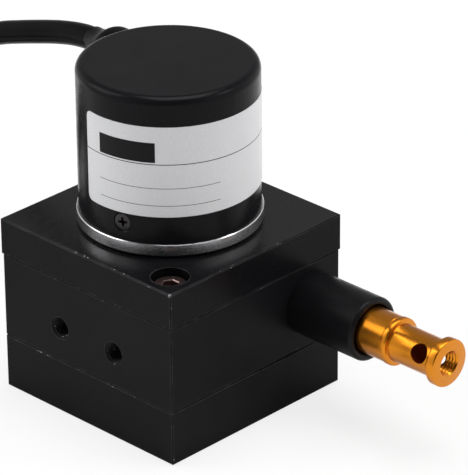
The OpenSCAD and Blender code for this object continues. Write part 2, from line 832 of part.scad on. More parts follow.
module board_components() {
    z = board_z + board_t;
    color("#26282b") {
        translate([2.5, -8.5, z]) cube([6, 5, 1.5]);
        translate([5, 4, z]) cube([4, 4, 1.2]);
        translate([-3, 8.5, z]) cylinder(h = 3.5, r = 2);
        translate([-6.5, -9, z]) cylinder(h = 3.5, r = 2);
        for (i = [0 : 3]) {
            translate([-2 + 1.8 * i, -13, z]) cube([1, 2, 0.6]);
        }
    }
}

module cable_socket() {
    z = board_z + board_t;
    color("#ece9df") translate([-10.5, -2.5, z]) difference() {
        cube([5, 9, 4]);
        for (i = [0 : 3]) {
            translate([-1, 1 + 2 * i, 1]) cube([4, 1, 1.6]);
        }
    }
}

module inner_leads() {
    z = board_z + board_t + 1.8;
    color("#7a4a3a") for (i = [0 : 3]) {
        bar(cable_route[0] + [0, 1.1 * i - 1.65, 0], [-10.6, -1 + 2 * i, z], 0.4);
    }
}

module encoder_cap() {
    roof = 1.6;
    color("#17181a") difference() {
        translate([0, 0, cap_z]) rotate_extrude() difference() {
            union() {
                square([cap_r, cap_h - cap_round]);
                square([cap_r - cap_round, cap_h]);
                translate([cap_r - cap_round, cap_h - cap_round]) circle(r = cap_round, $fn = 64);
            }
            translate([0, -1]) square([cap_r - cap_wall, cap_h - roof + 1]);
        }
        around(0, cap_screw_dirs()) translate([0, 0, cap_screw_z]) rotate([0, 90, 0]) {
            cylinder(h = cap_r + 1, r = 1.35);
            translate([0, 0, cap_r - 0.85]) cylinder(h = 0.85, r1 = 1.35, r2 = 2.2);
            translate([0, 0, cap_r - eps]) cylinder(h = 1, r = 2.2);
        }
        along_cable(12) cylinder(h = 12, r = gland_neck_r + 0.05);
    }
}

module cap_screws() {
    color("#8d8f92") around(cap_r - 0.15, cap_screw_dirs()) translate([0, 0, cap_screw_z])
        rotate([0, 90, 0]) countersunk_screw(1.05, 1.85, 4.5);
}

module label() {
    color("#d3d6da") translate([0, 0, label_z]) rotate([0, 0, label_dir])
        rotate_extrude(angle = label_sweep) translate([cap_r, 0]) square([0.1, label_h]);
}

// ---- Cable -----------------------------------------------------------------

// Places its children on the cable's way out of the cap, with Z outwards
module along_cable(x) {
    rotate([0, 0, gland_dir]) translate([x, 0, gland_z]) rotate([0, 90, 0]) children();
}

module cable_gland() {
    color("#141416") difference() {
        along_cable(0) difference() {
            union() {
                translate([0, 0, cap_r - 2.6]) cylinder(h = 5, r = gland_neck_r);
                translate([0, 0, cap_r - 2.8]) cylinder(h = 0.9, r = gland_r + 0.1);
                translate([0, 0, cap_r - 1]) cylinder(h = gland_end - cap_r + 1, r = gland_r);
            }
            translate([0, 0, 10]) cylinder(h = 20, r = cable_d / 2);
        }
        difference() {
            translate([0, 0, cap_z]) tube(cap_r, cap_r - cap_wall, cap_h);
            along_cable(12) cylinder(h = 12, r = gland_neck_r);
        }
    }
}

// Tapered boot that lets the cable bend gently
module strain_relief() {
    length = relief_end - gland_end;
    color("#101012") along_cable(gland_end) difference() {
        union() {
            cylinder(h = 1.2, r = gland_r);
            translate([0, 0, 1.2]) cylinder(h = length - 1.2, r1 = gland_r, r2 = cable_d / 2 + 0.5);
        }
        translate([0, 0, -1]) cylinder(h = length + 2, r = cable_d / 2);
    }
}

module cable() {
    color("#1b1b1e") swept(cable_route, cable_d / 2, 10);
}

module cable_tail() {
    color("#1b1b1e") swept(tail_route, cable_d / 2, 10);
}

module cable_coil() {
    color("#1b1b1e") translate(coil_centre) rotate_extrude()
        translate([coil_in_r, 0]) square([coil_out_r - coil_in_r, coil_h]);
}

module lead_tails() {
    last = tail_route[len(tail_route) - 1];
    offsets = [[0, -1, 0.9], [0, -0.9, -0.9], [0, 0.9, -0.9], [0, 1, 0.9]];
    color("#8c3b2e") for (i = [0 : 3]) {
        bar(last + offsets[i], lead_tips[i], lead_r);
    }
}

// ---- Nodes -----------------------------------------------------------------

bottom_cover();
middle_body();
top_plate();
plate_screws();
cover_screws();
spring_plate();
power_spring();
outlet_tube();
guide_eyelet();
wire_wiper();
bumper_ring();
lower_bearing_outer_ring();
upper_bearing_outer_ring();
flange_gasket();
encoder_flange();
flange_screws();
encoder_bearing_outer_rings();
led_block();
board_pillars();
circuit_board();
board_screws();
light_sensor();
sensor_mask();
board_components();
cable_socket();
encoder_cap();
cap_screws();
label();
cable_gland();
strain_relief();
inner_leads();
cable();
cable_coil();
cable_tail();
lead_tails();
drum();
drum_shaft();
spring_arbor();
wound_wire();
wire_clamp_screw();
lower_bearing_inner_ring();
upper_bearing_inner_ring();
encoder_shaft();
encoder_bearing_inner_rings();
disc_hub();
code_disc();
disc_clamp_ring();
lower_bearing_balls();
lower_bearing_cage();
upper_bearing_balls();
upper_bearing_cage();
encoder_bearing_balls();
encoder_bearing_cages();
draw_wire();
ferrule();
end_fitting();
retaining_plug();
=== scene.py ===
"""Looks of a draw wire encoder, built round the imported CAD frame.

Most CAD nodes keep their shapes and only get finishes here. New meshes and curves replace the
cable with its gland and its stripped leads, the label, the end fitting and the middle body with
their threads, the top plate, the bright ring, the screws in sight and the draw wire. Lengths are
metres, and MM turns millimetres into metres; routes, profiles and screws are in millimetres.
"""

import json
import math

import bmesh
import bpy
from mathutils import Matrix, Vector


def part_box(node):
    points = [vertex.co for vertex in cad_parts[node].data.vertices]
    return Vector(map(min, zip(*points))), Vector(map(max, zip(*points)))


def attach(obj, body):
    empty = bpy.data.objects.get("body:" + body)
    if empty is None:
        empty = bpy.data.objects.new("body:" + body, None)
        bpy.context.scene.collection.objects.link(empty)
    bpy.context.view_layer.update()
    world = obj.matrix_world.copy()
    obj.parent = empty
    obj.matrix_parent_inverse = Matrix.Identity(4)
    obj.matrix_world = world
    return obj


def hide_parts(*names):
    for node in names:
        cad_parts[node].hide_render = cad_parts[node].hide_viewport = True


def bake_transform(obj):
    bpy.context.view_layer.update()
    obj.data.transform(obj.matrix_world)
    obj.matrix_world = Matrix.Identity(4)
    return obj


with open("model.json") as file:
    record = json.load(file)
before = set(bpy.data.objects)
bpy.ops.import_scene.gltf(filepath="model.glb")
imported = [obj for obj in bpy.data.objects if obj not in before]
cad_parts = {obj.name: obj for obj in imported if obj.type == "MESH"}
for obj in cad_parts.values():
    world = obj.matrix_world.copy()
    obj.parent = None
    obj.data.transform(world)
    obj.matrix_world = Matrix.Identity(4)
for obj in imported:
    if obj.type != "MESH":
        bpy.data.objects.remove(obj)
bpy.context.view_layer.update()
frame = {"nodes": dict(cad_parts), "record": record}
nodes = frame["nodes"]
SLOT_OF = {row["node"]: row["material_slot"] for row in frame["record"]["subparts"]}

MM = 0.001
WIRE_Y = 15.915 * MM
WIRE_Z = 22.5 * MM


# ---- Making objects ----------------------------------------------------------

WELD_DISTANCE, SLIVER_LENGTH = 0.0004 * MM, 0.0001 * MM


def place_in_scene(name, data):
    """A new object, linked to the scene."""
    thing = bpy.data.objects.new(name, data)
    bpy.context.scene.collection.objects.link(thing)
    return thing


def add_object(name, data, body="housing"):
    """A new piece that rides on a body."""
    piece = place_in_scene(name, data)
    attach(piece, body)
    return piece


def add_copy(node, name):
    """A piece that starts as a closed copy of a CAD node's mesh, ready to be cut or reshaped."""
    mesh = nodes[node].data.copy()
    mesh.name = name
    if "custom_normal" in mesh.attributes:
        mesh.attributes.remove(mesh.attributes["custom_normal"])
    work = bmesh.new()
    work.from_mesh(mesh)
    bmesh.ops.remove_doubles(work, verts=work.verts, dist=WELD_DISTANCE)
    bmesh.ops.dissolve_degenerate(work, edges=work.edges, dist=SLIVER_LENGTH)
    bmesh.ops.recalc_face_normals(work, faces=work.faces)
    work.to_mesh(mesh)
    work.free()
    return add_object(name, mesh)


def mesh_from(points, faces, name):
    mesh = bpy.data.meshes.new(name)
    mesh.from_pydata([tuple(p) for p in points], [], faces)
    mesh.update()
    return mesh


def smooth(piece, angle):
    """Smooth shading that stays sharp at edges over the angle, in degrees."""
    piece.data.shade_smooth()
    piece.data.set_sharp_from_angle(angle=math.radians(angle))


def paint(piece, slot, *finishes):
    """Gives a piece its finishes, in place of any that it has; the slot is not used."""
    piece.data.materials.clear()
    for finish in finishes:
        piece.data.materials.append(finish)


def dress(finish, *names):
    """Gives CAD nodes a finish."""
    for name in names:
        paint(nodes[name], SLOT_OF[name], finish)


def polar(radius, angle):
    """The two coordinates of a point on a circle."""
    return radius * math.cos(angle), radius * math.sin(angle)


def along_x(x, radius, angle):
    """A point round the pulled wire's axis."""
    return Vector((x, WIRE_Y + radius * math.cos(angle), WIRE_Z + radius * math.sin(angle)))


def round_upright(centre):
    """Points round an upright axis through a centre, all in millimetres."""
    def place(height, radius, angle):
        return (centre + Vector((*polar(radius, angle), height))) * MM
    return place


def tube_faces(rows, sides, first=0):
    """Faces between rings of points that follow each other from the first on, with closed ends."""
    last = first + rows * sides
    faces = []
    for below in range(first, last, sides):
        for i in range(sides):
            k = (i + 1) % sides
            faces.append((below + i, below + k, below + sides + k, below + sides + i))
    faces.append(tuple(range(first + sides - 1, first - 1, -1)))
    faces.append(tuple(range(last, last + sides)))
    return faces


def revolve(name, profile, place, segments):
    """A mesh of a profile of (length, radius) pairs, turned round an axis by place()."""
    turns = [2 * math.pi * i / segments for i in range(segments)]
    points = [place(length, radius, a) for length, radius in profile for a in turns]
    return mesh_from(points, tube_faces(len(profile) - 1, segments), name)


def arc(centre, radius, start, end, steps):
    """Profile points of an arc, in degrees."""
    out = []
    for i in range(steps + 1):
        x, y = polar(radius, math.radians(start + (end - start) * i / steps))
        out.append((centre[0] + x, centre[1] + y))
    return out


def outward(mesh):
    """Turns the faces of a closed mesh outwards."""
    work = bmesh.new()
    work.from_mesh(mesh)
    bmesh.ops.recalc_face_normals(work, faces=work.faces)
    work.to_mesh(mesh)
    work.free()


def cut(piece, *cutters):
    """Subtracts meshes from a piece."""
    for mesh in cutters:
        outward(mesh)
        tool = place_in_scene(mesh.name, mesh)
        modifier = piece.modifiers.new("cut", "BOOLEAN")
        modifier.operation = "DIFFERENCE"
        modifier.solver = "EXACT"
        modifier.object = tool
        graph = bpy.context.evaluated_depsgraph_get()
        result = bpy.data.meshes.new_from_object(piece.evaluated_get(graph))
        piece.modifiers.clear()
        piece.data = result
        bpy.data.objects.remove(tool)


M5_CORE, M5_DEPTH, M5_PITCH = 2.1 * MM, 0.36 * MM, 0.8 * MM
THREAD_SIDES, THREAD_ROWS = 56, 8  # points a turn, and rings a pitch
RIDGE_TOP, RIDGE_SLOPE = 1.25, 2.5
CUTTER_PROUD = 0.5 * MM  # how far a cutter starts outside the face that it cuts


def thread_cutter(place, start, end, core):
    """A closed screw shape: a bar with a ridge that winds round it, which cuts an M5 thread."""
    rows = math.ceil((end - start) / M5_PITCH * THREAD_ROWS)
    points = []
    for row in range(rows + 1):
        length = start + (end - start) * row / rows
        for i in range(THREAD_SIDES):
            share = (length / M5_PITCH - i / THREAD_SIDES) % 1
            ridge = max(0, min(1, RIDGE_TOP - RIDGE_SLOPE * abs(share - 0.5)))
            points.append(place(length, core + M5_DEPTH * ridge, 2 * math.pi * i / THREAD_SIDES))
    return mesh_from(points, tube_faces(rows, THREAD_SIDES), "thread_cutter")


def curve_through(name, points, radius, resolution):
    """A round bar on one open smooth line through the points, given in millimetres.

    The radius is each point's own, because Blender also adds that to the curve's bounds.
    """
    data = bpy.data.curves.new(name, "CURVE")
    data.dimensions = "3D"
    data.bevel_depth = 1
    data.bevel_resolution = resolution
    data.resolution_u = 6
    data.use_fill_caps = True
    line = data.splines.new("BEZIER")
    line.bezier_points.add(len(points) - 1)
    for knot, point in zip(line.bezier_points, points):
        knot.co = Vector(point) * MM
        knot.radius = radius
        knot.handle_left_type = "AUTO"
        knot.handle_right_type = "AUTO"
    return data


# ---- Camera ------------------------------------------------------------------

CAMERA_TARGET = Vector((-10.74, 29.79, 20.0)) * MM
CAMERA_AZIMUTH = math.radians(44.534)
CAMERA_ELEVATION = math.radians(26.962)
CAMERA_ROLL = math.radians(-0.5)
CAMERA_DISTANCE = 0.8582
CAMERA_LENS = 298.6
CAMERA_SENSOR = 36
CAMERA_REACH = 20


def direction_of(azimuth, elevation):
    """A unit vector, as the camera counts angles: azimuth 0 is -Y, and it grows towards +X."""
    return Vector((
        math.sin(azimuth) * math.cos(elevation),
        -math.cos(azimuth) * math.cos(elevation),
        math.sin(elevation),
    ))


def make_camera():
    """The photograph's view."""
    back = direction_of(CAMERA_AZIMUTH, CAMERA_ELEVATION)
    right = (-back).cross(Vector((0, 0, 1))).normalized()
    up = right.cross(-back)
    tilted_right = right * math.cos(CAMERA_ROLL) + up * math.sin(CAMERA_ROLL)
    tilted_up = up * math.cos(CAMERA_ROLL) - right * math.sin(CAMERA_ROLL)
    camera = place_in_scene("camera", bpy.data.cameras.new("camera"))
    camera.data.lens = CAMERA_LENS
    camera.data.sensor_width = CAMERA_SENSOR
    camera.data.clip_end = CAMERA_REACH
    turn = Matrix((tilted_right, tilted_up, back)).transposed().to_4x4()
    camera.matrix_world = Matrix.Translation(CAMERA_TARGET + back * CAMERA_DISTANCE) @ turn
    bpy.context.scene.camera = camera


# ---- Making finishes ---------------------------------------------------------

NOISE_MIDDLE = (0.3, 0.7)  # the range that most of a noise's values lie in
NOISE_CORE = (0.35, 0.65)  # a narrower range, for plainer steps between two colours


def linear(red, green, blue):
    """A colour given as the eye sees it, 0 to 255, as the shader wants it."""
    def straight(c):
        return c / 255 / 12.92 if c <= 10 else ((c / 255 + 0.055) / 1.055) ** 2.4
    return straight(red), straight(green), straight(blue)


def scaled(colour, factor):
    """A colour made darker or lighter."""
    return tuple(c * factor for c in colour)


def feed(tree, socket, value):
    """Gives a socket a constant, or links a node's output to it."""
    if isinstance(value, bpy.types.NodeSocket):
        tree.links.new(value, socket)
    else:
        socket.default_value = value


def add_node(tree, kind, **inputs):
    """A new node whose inputs are fed by name, with an underscore for each space."""
    node = tree.nodes.new(kind)
    for key, value in inputs.items():
        feed(tree, node.inputs[key.replace("_", " ")], value)
    return node


def calculate(tree, kind, operation, *values):
    """The outputs of a maths node, whose inputs are fed in order."""
    node = tree.nodes.new(kind)
    node.operation = operation
    for socket, value in zip(node.inputs, values):
        feed(tree, socket, value)
    return node.outputs


def map_range(tree, value, low, high, start=0.0, end=1.0):
    """A node that maps low..high to start..end, clamped."""
    return add_node(tree, "ShaderNodeMapRange", Value=value, From_Min=low, From_Max=high,
                    To_Min=start, To_Max=end)


class Finish:
    """A procedural material, built one node at a time on the object's own coordinates."""

    SOCKETS = {
        "base": "Base Color", "roughness": "Roughness", "metallic": "Metallic", "normal": "Normal",
        "specular": "Specular IOR Level", "coat": "Coat Weight", "coat_roughness": "Coat Roughness",
        "sheen": "Sheen Weight", "anisotropic": "Anisotropic", "turn": "Anisotropic Rotation",
        "tangent": "Tangent",
    }

    def __init__(self, name, colour, roughness, metallic=0.0, specular=0.5):
        self.material = bpy.data.materials.new(name)
        self.material.use_nodes = True
        self.tree = self.material.node_tree
        self.shader = self.tree.nodes["Principled BSDF"]
        self.set(base=colour + (1,), roughness=roughness, metallic=metallic, specular=specular)
        self.place = self.add("ShaderNodeTexCoord").outputs["Object"]

    def set(self, **values):
        """Gives the shader's sockets a constant, or the output of a node."""
        for key, value in values.items():
            feed(self.tree, self.shader.inputs[self.SOCKETS[key]], value)

    def add(self, kind, **inputs):
        return add_node(self.tree, kind, **inputs)

    def math(self, operation, *values):
        return calculate(self.tree, "ShaderNodeMath", operation, *values)[0]

    def vector(self, operation, *values):
        return calculate(self.tree, "ShaderNodeVectorMath", operation, *values)

    def stretched(self, scale=(1, 1, 1), centre=(0, 0, 0)):
        """The object's coordinates from a centre, each axis with its own scale."""
        moved = self.vector("SUBTRACT", self.place, centre)["Vector"]
        return self.vector("MULTIPLY", moved, scale)["Vector"]

    def turned(self, axis, fine, centre=(0, 0, 0)):
        """Coordinates that vary finely with length and radius and slowly round the axis."""
        slow = 120
        x, y, z = self.add("ShaderNodeSeparateXYZ", Vector=self.stretched(centre=centre)).outputs
        length, p, q = (x, y, z) if axis == "X" else (z, x, y)
        squares = self.math("ADD", self.math("MULTIPLY", p, p), self.math("MULTIPLY", q, q))
        radius = self.math("SQRT", squares)
        join = self.add(
            "ShaderNodeCombineXYZ",
            X=self.math("MULTIPLY", self.math("ADD", length, radius), fine),
            Y=self.math("MULTIPLY", p, slow),
            Z=self.math("MULTIPLY", q, slow),
        )
        return join.outputs[0]

    def noise(self, scale, detail=2.0, roughness=0.5, where=None):
        node = self.add("ShaderNodeTexNoise", Scale=scale, Detail=detail, Roughness=roughness,
                        Vector=self.place if where is None else where)
        return node.outputs["Fac"]

    def spread(self, value, low, high, start=0.0, end=1.0):
        """Maps low..high to start..end, clamped."""
        return map_range(self.tree, value, low, high, start, end).outputs["Result"]

    def mix(self, share, first, second):
        """A colour between two, each a triple or a node's output."""
        node = self.tree.nodes.new("ShaderNodeMix")
        node.data_type = "RGBA"
        feed(self.tree, node.inputs["Factor"], share)
        for socket, colour in ((node.inputs[6], first), (node.inputs[7], second)):
            whole = colour if isinstance(colour, bpy.types.NodeSocket) else colour + (1,)
            feed(self.tree, socket, whole)
        return node.outputs[2]

    def bump(self, height, distance, strength):
        node = self.add("ShaderNodeBump", Height=height, Strength=strength, Distance=distance)
        return node.outputs["Normal"]

    def edges(self, radius, flat=0.985, bent=0.93):
        """0 on open faces and up to 1 along edges, where the bevelled normal leans away."""
        bevel = self.add("ShaderNodeBevel", Radius=radius)
        bevel.samples = 6
        own = self.add("ShaderNodeNewGeometry").outputs["Normal"]
        likeness = self.vector("DOT_PRODUCT", bevel.outputs["Normal"], own)["Value"]
        return self.spread(likeness, flat, bent)


# ---- The finishes ------------------------------------------------------------

BARE = linear(196, 196, 198)
RUBBED = linear(120, 120, 122)
KNOCK_FULL, KNOCK_END = 0.3 * MM, 0.5 * MM


def anodised_black(name, colour, roughness, specular, wear=True, knocked=None):
    """Black anodised aluminium: a blasted grain, faint cloudiness and bare metal on worn edges.

    Knocked is the place of one larger knock, where a corner has lost its black.
    """
    f = Finish(name, colour, roughness, specular=specular)
    cloud = f.noise(90, detail=3, roughness=0.55)
    grain = f.noise(9000, detail=2, roughness=0.6)
    shade = f.mix(f.spread(cloud, *NOISE_MIDDLE), scaled(colour, 0.86), scaled(colour, 1.16))
    uneven = f.noise(700, detail=4, roughness=0.6)
    if wear:
        edge = f.edges(0.3 * MM)
        rubbed = f.spread(f.noise(160, detail=4, roughness=0.6), 0.38, 0.62, 0.06, 0.32)
        shade = f.mix(f.math("MULTIPLY", edge, rubbed), shade, RUBBED)
        chips = f.noise(1300, detail=3, roughness=0.6)
        nick = f.math("MULTIPLY", edge, f.spread(chips, 0.65, 0.69))
        if knocked:
            distance = f.vector("LENGTH", f.stretched(centre=knocked))["Value"]
            near = f.spread(distance, KNOCK_FULL, KNOCK_END, 1, 0)
            nick = f.math("MAXIMUM", nick, f.math("MULTIPLY", near, f.spread(chips, 0.4, 0.5)))
        shade = f.mix(nick, shade, BARE)
        f.set(metallic=nick)
    f.set(
        base=shade,
        roughness=f.spread(uneven, *NOISE_MIDDLE, roughness - 0.05, roughness + 0.05),
        normal=f.bump(grain, 0.006 * MM, 0.6),
    )
    return f.material


def turned_metal(name, colour, roughness, axis, centre=(0, 0, 0), depth=0.004, fine=5200,
                 streak=0.0, coat=0.0, vary=0.06):
    """Metal from the lathe: fine rings round the axis, in height, shade and roughness.

    Streak is how far the rings draw a highlight out along the axis, from 0 to 1. Depth is in
    millimetres.
    """
    f = Finish(name, colour, roughness, metallic=1.0)
    if streak:
        tangent = f.add("ShaderNodeTangent")
        tangent.direction_type = "RADIAL"
        tangent.axis = axis
        f.set(anisotropic=streak, turn=0.25, tangent=tangent.outputs["Tangent"])
    rings = f.noise(1.0, detail=3, roughness=0.65, where=f.turned(axis, fine, centre))
    f.set(
        coat=coat,
        coat_roughness=0.3,
        base=f.mix(f.spread(rings, *NOISE_MIDDLE), scaled(colour, 1 - 1.5 * vary), colour),
        roughness=f.spread(rings, 0.25, 0.75, roughness - vary, roughness + vary),
        normal=f.bump(rings, depth * MM, 0.5),
    )
    return f.material


def ground_metal(name, colour, roughness, metallic=1.0):
    """Ground or plated metal with a soft mottle."""
    f = Finish(name, colour, roughness, metallic=metallic)
    spots = f.noise(1500, detail=4, roughness=0.6)
    f.set(
        base=f.mix(f.spread(f.noise(260, detail=3), *NOISE_MIDDLE), scaled(colour, 0.88), colour),
        roughness=f.spread(spots, *NOISE_MIDDLE, roughness - 0.05, roughness + 0.1),
        normal=f.bump(spots, 0.004 * MM, 0.4),
    )
    return f.material


def moulded(name, colour, roughness, specular=0.4, grain=2600, depth=0.006):
    """Moulded plastic or rubber: a fine spark-eroded skin, with its depth in millimetres."""
    f = Finish(name, colour, roughness, specular=specular)
    skin = f.noise(grain, detail=3, roughness=0.6)
    uneven = f.spread(f.noise(140), *NOISE_MIDDLE)
    f.set(
        base=f.mix(uneven, scaled(colour, 0.85), scaled(colour, 1.1)),
        roughness=f.spread(skin, *NOISE_MIDDLE, roughness - 0.05, roughness + 0.06),
        normal=f.bump(skin, depth * MM, 0.6),
    )
    return f.material


def stranded(name, colour):
    """Steel strands laid round the wire's axis, along X."""
    f = Finish(name, colour, 0.3, metallic=1.0)
    wave = f.noise(1.0, detail=1, where=f.stretched((900, 9000, 9000)))
    f.set(
        base=f.mix(f.spread(wave, *NOISE_CORE), scaled(colour, 0.5), colour),
        roughness=f.spread(wave, *NOISE_MIDDLE, 0.24, 0.4),
    )
    return f.material


def blued_strip(name):
    """Blued spring strip, with the colour running from straw to blue."""
    f = Finish(name, (0.2, 0.24, 0.3), 0.3, metallic=1.0)
    f.set(
        base=f.mix(f.spread(f.noise(60), *NOISE_CORE), linear(120, 108, 92), linear(84, 96, 118)),
        roughness=f.spread(f.noise(2400, detail=3, roughness=0.6), *NOISE_MIDDLE, 0.24, 0.4),
    )
    return f.material


def felt(name, colour):
    """Dense felt: short fibres in colour and height."""
    f = Finish(name, colour, 0.95, specular=0.1)
    fibre = f.noise(5200, detail=5, roughness=0.75)
    f.set(
        base=f.mix(fibre, scaled(colour, 0.55), scaled(colour, 1.25)),
        normal=f.bump(fibre, 0.05 * MM, 1.0),
        sheen=0.4,
    )
    return f.material


def solder_mask(name):
    """Green circuit board, with traces showing through the mask."""
    f = Finish(name, linear(24, 92, 48), 0.32)
    traces = f.add(
        "ShaderNodeTexBrick", Vector=f.place, Scale=420, Mortar_Size=0.02,
        Color1=linear(20, 84, 42) + (1,), Color2=linear(28, 98, 52) + (1,),
        Mortar=linear(60, 140, 78) + (1,),
    )
    f.set(base=traces.outputs["Color"], roughness=f.spread(f.noise(900), *NOISE_MIDDLE, 0.26, 0.4))
    return f.material


def code_film(name):
    """Dark film disc with a fine radial print."""
    f = Finish(name, linear(66, 74, 86), 0.18, specular=0.6)
    rings = f.noise(1.0, where=f.turned("Z", 2400))
    f.set(base=f.mix(f.spread(rings, *NOISE_CORE), linear(48, 54, 64), linear(96, 106, 120)))
    return f.material


def white_ceramic(name):
    f = Finish(name, linear(236, 230, 216), 0.16, specular=0.6)
    glaze = f.spread(f.noise(500, detail=4), *NOISE_MIDDLE)
    f.set(base=f.mix(glaze, linear(226, 218, 202), linear(240, 236, 226)), coat=0.5)
    return f.material


def tinned_copper(name):
    f = Finish(name, linear(214, 206, 196), 0.28, metallic=1.0)
    twist = f.noise(1.0, where=f.stretched((2500, 6000, 6000)))
    f.set(
        base=f.mix(f.spread(twist, *NOISE_CORE), linear(186, 150, 120), linear(220, 214, 206)),
        normal=f.bump(twist, 0.03 * MM, 1.0),
    )
    return f.material


def label_foil(name):
    """Silver-grey foil with a bare print: a rule, a blank dark field and two write-in lines.

    It is laid out on the label's UVs, in tenths of a metre: U round the cap and V up it.
    """
    f = Finish(name, linear(205, 205, 207), 0.34, specular=0.1)
    uv = f.add("ShaderNodeUVMap")
    uv.uv_map = LABEL_UV
    u, v = f.add("ShaderNodeSeparateXYZ", Vector=uv.outputs["UV"]).outputs[:2]

    def band(value, low, high):
        above, below = f.math("GREATER_THAN", value, low), f.math("LESS_THAN", value, high)
        return f.math("MULTIPLY", above, below)

    ink = band(v, RULE_V - RULE_HALF, RULE_V + RULE_HALF)
    for left, right, bottom, top in LABEL_FIELDS:
        field = f.math("MULTIPLY", band(u, left, right), band(v, bottom, top))
        ink = f.math("MAXIMUM", ink, field)
    grain = f.noise(2600, detail=4, roughness=0.7)
    sheet = f.mix(f.spread(grain, *NOISE_MIDDLE), linear(200, 200, 202), linear(210, 210, 212))
    f.set(
        base=f.mix(ink, sheet, linear(14, 13, 14)),
        roughness=f.spread(grain, *NOISE_MIDDLE, 0.3, 0.42),
        normal=f.bump(grain, 0.003 * MM, 0.5),
    )
    return f.material


# ---- Cable -------------------------------------------------------------------

CABLE_MM = 5.2
CABLE_D = CABLE_MM * MM
CABLE_ROUTE = [
    (-16, 4.3, 68.5), (-21, 5.6, 68.5), (-26, 7, 68.5), (-29, 7.7, 68.4),
    (-32.5, 8.5, 67.95), (-36, 9.2, 67.25), (-41.5, 10.1, 65.8), (-47, 10.75, 64.1),
    (-52.5, 11.2, 62.3), (-58, 11.7, 60.4), (-64, 12.2, 58.2), (-67, 12.5, 56.8),
    (-70, 12.9, 54.8), (-72.6, 13.2, 52.1), (-75.2, 13.7, 48.4), (-78.2, 14.3, 43.8),
    (-82.2, 15.3, 37.4), (-86.2, 16.4, 31.1), (-90.2, 17.5, 24.9), (-94, 18.6, 18.6),
    (-97.2, 19.6, 14.2), (-101.5, 20.6, 10.7), (-106.6, 21.5, 8.6), (-112, 21.8, 7.8),
]
TAIL_ROUTE = [
    (-112, -49.8, 2.6), (-104, -50, 2.6), (-96, -49.8, 2.6), (-88, -49.2, 2.6),
    (-80, -48.6, 2.6), (-74, -48.4, 2.6),
]
COIL_CENTRE = (-112, -14)
COIL_TURNS = 4.5
COIL_INNER = 24.15
COIL_STEPS = 16
COIL_START = math.radians(90)
COIL_UPPER = 7.8
GLAND_DIRECTION = math.radians(165)
GLAND_HEIGHT = 68.5
GLAND_PROFILE = [
    (17.9, 5.1), (18.5, 5.45), (21.4, 5.8), (22.4, 5.85),
    (23.2, 5.75), (23.8, 5.5), (24.2, 5.2), (24.5, 4.9),
]
RELIEF_PROFILE = [
    (24.5, 4.85), (25, 4.5), (25.6, 4.15), (26.4, 3.8), (27.2, 3.5),
    (28, 3.25), (29, 3), (30, 2.82), (31, 2.7), (31.5, 2.66),
]
RELIEF_TIP = Vector((*polar(RELIEF_PROFILE[-1][0], GLAND_DIRECTION), GLAND_HEIGHT)) * MM


def coil_points():
    """The coil's turns: a layer that spirals in, a drop at its inner end, and a layer out again."""
    half = COIL_TURNS / 2
    out = []
    for i in range(1, int(COIL_TURNS * COIL_STEPS)):
        turn = i / COIL_STEPS
        drop = min(1, max(0, (turn - half) / 0.5 + 0.5))
        height = COIL_UPPER - CABLE_MM * drop * drop * (3 - 2 * drop)
        x, y = polar(COIL_INNER + CABLE_MM * abs(turn - half), COIL_START + 2 * math.pi * turn)
        out.append((COIL_CENTRE[0] + x, COIL_CENTRE[1] + y, height))
    return out


LEADS = [  # colour, start from the jacket's end, tip
    ("red", linear(168, 30, 26), (0, -1, 0.9), (-58, -52.5, 0.8)),
    ("black", linear(26, 26, 28), (0, -0.9, -0.9), (-56, -49.5, 0.8)),
    ("green", linear(28, 116, 60), (0, 0.9, -0.9), (-56.5, -46.5, 0.8)),
    ("white", linear(226, 224, 216), (0, 1, 0.9), (-59, -43.5, 0.8)),
]
LEAD_R, CORE_R = 0.65 * MM, 0.32 * MM
LEAD_BARE = 4.5
LEAD_HIDDEN = 2
CORE_HIDDEN = 1.5
LEAD_LOWEST, CORE_Z = 0.75, 0.7


def make_leads(copper):
    """Four insulated leads out of the jacket, each with a bare twisted end."""
    made = []
    end = Vector(TAIL_ROUTE[-1])
    for colour, tint, start, tip in LEADS:
        first, last = end + Vector(start), Vector(tip)
        run = last - first
        along = run.normalized()
        bare = last - along * LEAD_BARE
        bend = first + run * 0.6
        bend.z = max(bend.z, LEAD_LOWEST)
        bare.z = CORE_Z
        points = [first - Vector((LEAD_HIDDEN, 0, 0)), first,
                  first + run * 0.3 + Vector((0, 0, 0.1)), bend, bare]
        strand = [bare - along * CORE_HIDDEN, bare,
                  (bare + last) / 2, Vector((last.x, last.y, CORE_Z))]
        jacket = add_object("lead_" + colour, curve_through("lead_" + colour, points, LEAD_R, 4))
        paint(jacket, "lead_insulation", moulded("lead_skin_" + colour, tint, 0.4, 0.5))
        core = add_object("lead_core_" + colour, curve_through("core_" + colour, strand, CORE_R, 3))
        paint(core, "lead_insulation", copper)
        made += [jacket, core]
    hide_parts("lead_tails")
    return made


def make_cable(skin):
    """The whole cable as one smooth tube, from the gland to its stripped end."""
    points = CABLE_ROUTE + coil_points() + TAIL_ROUTE
    cable = add_object("cable_jacket", curve_through("cable_jacket", points, CABLE_D / 2, 7))
    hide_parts("cable", "cable_coil", "cable_tail")
    paint(cable, "cable_pvc", skin)


